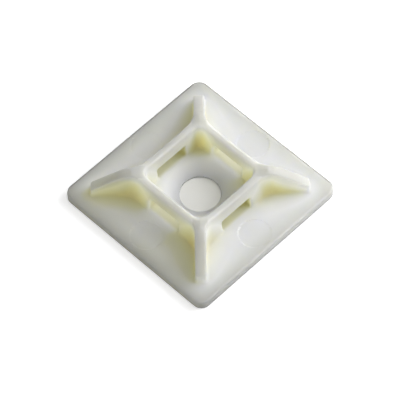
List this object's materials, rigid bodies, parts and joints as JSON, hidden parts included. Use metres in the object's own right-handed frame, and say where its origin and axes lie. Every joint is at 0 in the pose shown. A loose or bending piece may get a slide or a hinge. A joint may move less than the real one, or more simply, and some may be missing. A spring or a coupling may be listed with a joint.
{
  "type": "cable tie mount",
  "caption": "Square natural nylon mount with an open square tower, tie slots in its walls, diagonal ribs and a central screw hole.",
  "frame": {"origin": "middle of the plate's underside", "axes": "+Z away from the mounting surface, out through the open top of the tower; X and Y along the plate's sides and through the tie slots"},
  "size_m": [0.028, 0.028, 0.0064],
  "materials": {
    "natural_nylon": "satin moulded natural nylon, milky and slightly translucent, with a faint warm tint where it is thick"
  },
  "bodies": {
    "root": {"tie_mount": "natural_nylon"}
  },
  "joints": []
}
